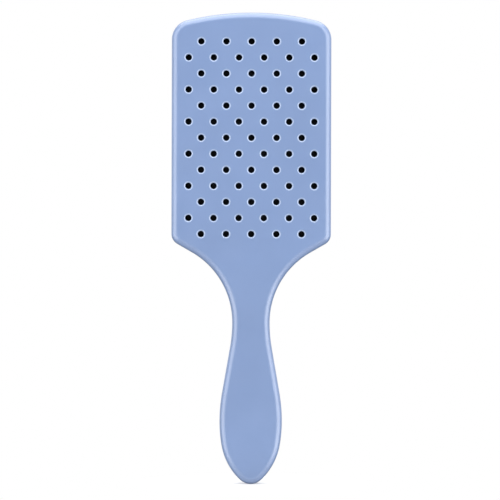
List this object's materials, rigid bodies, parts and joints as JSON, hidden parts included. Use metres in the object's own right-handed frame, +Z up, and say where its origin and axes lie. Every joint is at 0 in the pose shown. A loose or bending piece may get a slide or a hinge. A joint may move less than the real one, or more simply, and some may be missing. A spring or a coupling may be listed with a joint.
{
  "type": "hair brush",
  "caption": "Vented paddle hair brush with a flat perforated back, a tapered oval handle and a sprung rubber cushion of ball-tipped bristles.",
  "frame": {"origin": "middle of the grip: the middle of the handle's thickness and width where the handle is widest", "axes": "+Z up the brush from handle to head, -Y out of the flat back, +Y the way the bristles point, +X to the right as the back is looked at"},
  "size_m": [0.0826, 0.0338, 0.244],
  "materials": {
    "soft_touch_shell": "satin soft-touch moulding",
    "retainer_plastic": "plain moulded",
    "cushion_rubber": "fine matt moulded rubber",
    "bristle_nylon": "drawn nylon, slight sheen",
    "tip_resin": "smooth ball tip"
  },
  "bodies": {
    "paddle": {"back_shell": "soft_touch_shell", "front_shell": "soft_touch_shell", "cushion_retainer": "retainer_plastic"},
    "cushion": {"cushion_pad": "cushion_rubber"},
    "column_01": {"bristle_column_01": "bristle_nylon", "tip_column_01": "tip_resin"},
    "column_02": {"bristle_column_02": "bristle_nylon", "tip_column_02": "tip_resin"},
    "column_03": {"bristle_column_03": "bristle_nylon", "tip_column_03": "tip_resin"},
    "column_04": {"bristle_column_04": "bristle_nylon", "tip_column_04": "tip_resin"},
    "column_05": {"bristle_column_05": "bristle_nylon", "tip_column_05": "tip_resin"},
    "column_06": {"bristle_column_06": "bristle_nylon", "tip_column_06": "tip_resin"},
    "column_07": {"bristle_column_07": "bristle_nylon", "tip_column_07": "tip_resin"},
    "column_08": {"bristle_column_08": "bristle_nylon", "tip_column_08": "tip_resin"},
    "column_09": {"bristle_column_09": "bristle_nylon", "tip_column_09": "tip_resin"},
    "column_10": {"bristle_column_10": "bristle_nylon", "tip_column_10": "tip_resin"},
    "column_11": {"bristle_column_11": "bristle_nylon", "tip_column_11": "tip_resin"}
  },
  "joints": [
    {"name": "cushion_press", "type": "slide", "parent": "paddle", "child": "cushion", "axis": [0, -1, 0], "range_m": [0, 0.003], "stiffness_N_per_m": 6000, "deforming": ["cushion_pad"]},
    {"name": "column_01_rock", "type": "hinge", "parent": "cushion", "child": "column_01", "pos_m": [-0.0325, 0.00925, 0.1466], "axis": [0, 0, 1], "range_deg": [-15, 15], "stiffness_Nm_per_rad": 0.08},
    {"name": "column_02_rock", "type": "hinge", "parent": "cushion", "child": "column_02", "pos_m": [-0.026, 0.00925, 0.1466], "axis": [0, 0, 1], "range_deg": [-15, 15], "stiffness_Nm_per_rad": 0.08},
    {"name": "column_03_rock", "type": "hinge", "parent": "cushion", "child": "column_03", "pos_m": [-0.0195, 0.00925, 0.1466], "axis": [0, 0, 1], "range_deg": [-15, 15], "stiffness_Nm_per_rad": 0.08},
    {"name": "column_04_rock", "type": "hinge", "parent": "cushion", "child": "column_04", "pos_m": [-0.013, 0.00925, 0.1466], "axis": [0, 0, 1], "range_deg": [-15, 15], "stiffness_Nm_per_rad": 0.08},
    {"name": "column_05_rock", "type": "hinge", "parent": "cushion", "child": "column_05", "pos_m": [-0.0065, 0.00925, 0.1466], "axis": [0, 0, 1], "range_deg": [-15, 15], "stiffness_Nm_per_rad": 0.08},
    {"name": "column_06_rock", "type": "hinge", "parent": "cushion", "child": "column_06", "pos_m": [0, 0.00925, 0.1466], "axis": [0, 0, 1], "range_deg": [-15, 15], "stiffness_Nm_per_rad": 0.08},
    {"name": "column_07_rock", "type": "hinge", "parent": "cushion", "child": "column_07", "pos_m": [0.0065, 0.00925, 0.1466], "axis": [0, 0, 1], "range_deg": [-15, 15], "stiffness_Nm_per_rad": 0.08},
    {"name": "column_08_rock", "type": "hinge", "parent": "cushion", "child": "column_08", "pos_m": [0.013, 0.00925, 0.1466], "axis": [0, 0, 1], "range_deg": [-15, 15], "stiffness_Nm_per_rad": 0.08},
    {"name": "column_09_rock", "type": "hinge", "parent": "cushion", "child": "column_09", "pos_m": [0.0195, 0.00925, 0.1466], "axis": [0, 0, 1], "range_deg": [-15, 15], "stiffness_Nm_per_rad": 0.08},
    {"name": "column_10_rock", "type": "hinge", "parent": "cushion", "child": "column_10", "pos_m": [0.026, 0.00925, 0.1466], "axis": [0, 0, 1], "range_deg": [-15, 15], "stiffness_Nm_per_rad": 0.08},
    {"name": "column_11_rock", "type": "hinge", "parent": "cushion", "child": "column_11", "pos_m": [0.0325, 0.00925, 0.1466], "axis": [0, 0, 1], "range_deg": [-15, 15], "stiffness_Nm_per_rad": 0.08}
  ]
}
